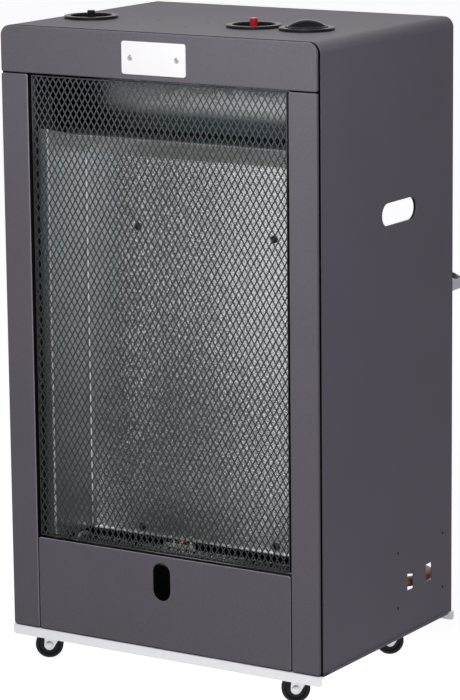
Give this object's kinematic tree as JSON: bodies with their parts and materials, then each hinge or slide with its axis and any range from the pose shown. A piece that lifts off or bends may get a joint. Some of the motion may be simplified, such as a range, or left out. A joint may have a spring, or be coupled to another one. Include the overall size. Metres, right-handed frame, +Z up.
{
  "type": "portable gas heater",
  "caption": "Cabinet gas heater on swivel casters: mesh guard over a heating chamber, knob and push buttons in the deck, and an open rear bay for a gas bottle.",
  "frame": {"origin": "on the floor, at the middle of the bounding box", "axes": "+Z up from the floor, -Y towards the front guard, +X to the right as seen from the front"},
  "size_m": [0.424, 0.3644, 0.766],
  "materials": {
    "casing_paint": "textured powder coat, dark grey",
    "guard_steel": "grey expanded metal",
    "plate": "satin, bare",
    "galvanised": "galvanised, satin",
    "reflector": "aluminised sheet, satin",
    "black_plastic": "fine texture",
    "red_plastic": "gloss",
    "steel": "plain",
    "burner": "bright stainless",
    "screws": "blackened",
    "cast_alloy": "cast",
    "brass": "turned",
    "copper": "drawn tube",
    "ceramic": "unglazed",
    "lead_rubber": "smooth",
    "hose_rubber": "smooth, orange",
    "caster_steel": "zinc plated",
    "wheel": "moulded"
  },
  "bodies": {
    "cabinet": {"casing_wrap": "casing_paint", "front_fascia": "casing_paint", "front_post_left": "casing_paint", "front_post_right": "casing_paint", "lower_front_panel": "casing_paint", "partition_panel": "casing_paint", "mesh_guard": "guard_steel", "name_plate": "plate", "base_tray": "galvanised", "bottle_bar": "galvanised", "valve_bracket": "galvanised", "burner_bracket_left": "galvanised", "burner_bracket_right": "galvanised", "pilot_bracket": "galvanised", "reflector_standoffs": "galvanised", "reflector_back": "reflector", "reflector_side_left": "reflector", "reflector_side_right": "reflector", "reflector_hood": "reflector", "hot_air_deflector": "reflector", "control_bezel": "black_plastic", "igniter_bezel": "black_plastic", "pilot_bezel": "black_plastic", "pilot_button_guide": "black_plastic", "igniter_body": "black_plastic", "thermocouple": "steel", "name_plate_rivets": "steel", "caster_stems": "steel", "burner_tube": "burner", "reflector_screws": "screws", "valve_body": "cast_alloy", "regulator_body": "cast_alloy", "injector": "brass", "inlet_elbow": "brass", "pilot_burner": "brass", "hose_ferrules": "brass", "gas_pipe": "copper", "pilot_pipe": "copper", "thermocouple_lead": "copper", "spark_electrode": "ceramic", "spark_lead": "lead_rubber", "gas_hose": "hose_rubber"},
    "spindle_push": {"spindle_collar": "steel"},
    "knob": {"control_knob": "black_plastic", "valve_spindle": "steel"},
    "igniter": {"igniter_button": "red_plastic"},
    "pilot": {"pilot_button": "black_plastic"},
    "union_nut": {"regulator_nut": "brass"},
    "swivel_front_left": {"caster_fork_front_left": "caster_steel", "caster_axle_front_left": "caster_steel"},
    "wheel_front_left": {"caster_wheel_front_left": "wheel"},
    "swivel_front_right": {"caster_fork_front_right": "caster_steel", "caster_axle_front_right": "caster_steel"},
    "wheel_front_right": {"caster_wheel_front_right": "wheel"},
    "swivel_rear_left": {"caster_fork_rear_left": "caster_steel", "caster_axle_rear_left": "caster_steel"},
    "wheel_rear_left": {"caster_wheel_rear_left": "wheel"},
    "swivel_rear_right": {"caster_fork_rear_right": "caster_steel", "caster_axle_rear_right": "caster_steel"},
    "wheel_rear_right": {"caster_wheel_rear_right": "wheel"}
  },
  "joints": [
    {"name": "knob_push", "type": "slide", "parent": "cabinet", "child": "spindle_push", "axis": [0, 0, -1], "range_m": [0, 0.003], "stiffness_N_per_m": 1500, "springref_m": -0.001},
    {"name": "knob_turn", "type": "hinge", "parent": "spindle_push", "child": "knob", "pos_m": [0.1325, -0.07075, 0.7547], "axis": [0, 0, 1], "range_deg": [0, 210]},
    {"name": "igniter_press", "type": "slide", "parent": "cabinet", "child": "igniter", "axis": [0, 0, -1], "range_m": [0, 0.005], "stiffness_N_per_m": 1500, "springref_m": -0.001},
    {"name": "pilot_press", "type": "slide", "parent": "cabinet", "child": "pilot", "axis": [0, 0, -1], "range_m": [0, 0.004], "stiffness_N_per_m": 1000, "springref_m": -0.001},
    {"name": "swivel_turn_front_left", "type": "hinge", "parent": "cabinet", "child": "swivel_front_left", "pos_m": [-0.171, -0.13975, 0.0447], "axis": [0, 0, 1], "continuous": true},
    {"name": "wheel_turn_front_left", "type": "hinge", "parent": "swivel_front_left", "child": "wheel_front_left", "pos_m": [-0.18282, -0.14725, 0.0165], "axis": [0.5358, -0.8443, 0], "continuous": true},
    {"name": "swivel_turn_front_right", "type": "hinge", "parent": "cabinet", "child": "swivel_front_right", "pos_m": [0.171, -0.13975, 0.0447], "axis": [0, 0, 1], "continuous": true},
    {"name": "wheel_turn_front_right", "type": "hinge", "parent": "swivel_front_right", "child": "wheel_front_right", "pos_m": [0.15918, -0.14725, 0.0165], "axis": [0.5358, -0.8443, 0], "continuous": true},
    {"name": "swivel_turn_rear_left", "type": "hinge", "parent": "cabinet", "child": "swivel_rear_left", "pos_m": [-0.171, 0.07625, 0.0447], "axis": [0, 0, 1], "continuous": true},
    {"name": "wheel_turn_rear_left", "type": "hinge", "parent": "swivel_rear_left", "child": "wheel_rear_left", "pos_m": [-0.18282, 0.06875, 0.0165], "axis": [0.5358, -0.8443, 0], "continuous": true},
    {"name": "swivel_turn_rear_right", "type": "hinge", "parent": "cabinet", "child": "swivel_rear_right", "pos_m": [0.171, 0.07625, 0.0447], "axis": [0, 0, 1], "continuous": true},
    {"name": "wheel_turn_rear_right", "type": "hinge", "parent": "swivel_rear_right", "child": "wheel_rear_right", "pos_m": [0.15918, 0.06875, 0.0165], "axis": [0.5358, -0.8443, 0], "continuous": true},
    {"name": "union_nut_turn", "type": "hinge", "parent": "cabinet", "child": "union_nut", "pos_m": [0.0587, -0.02665, 0.0632], "axis": [0, 1, 0], "continuous": true}
  ]
}
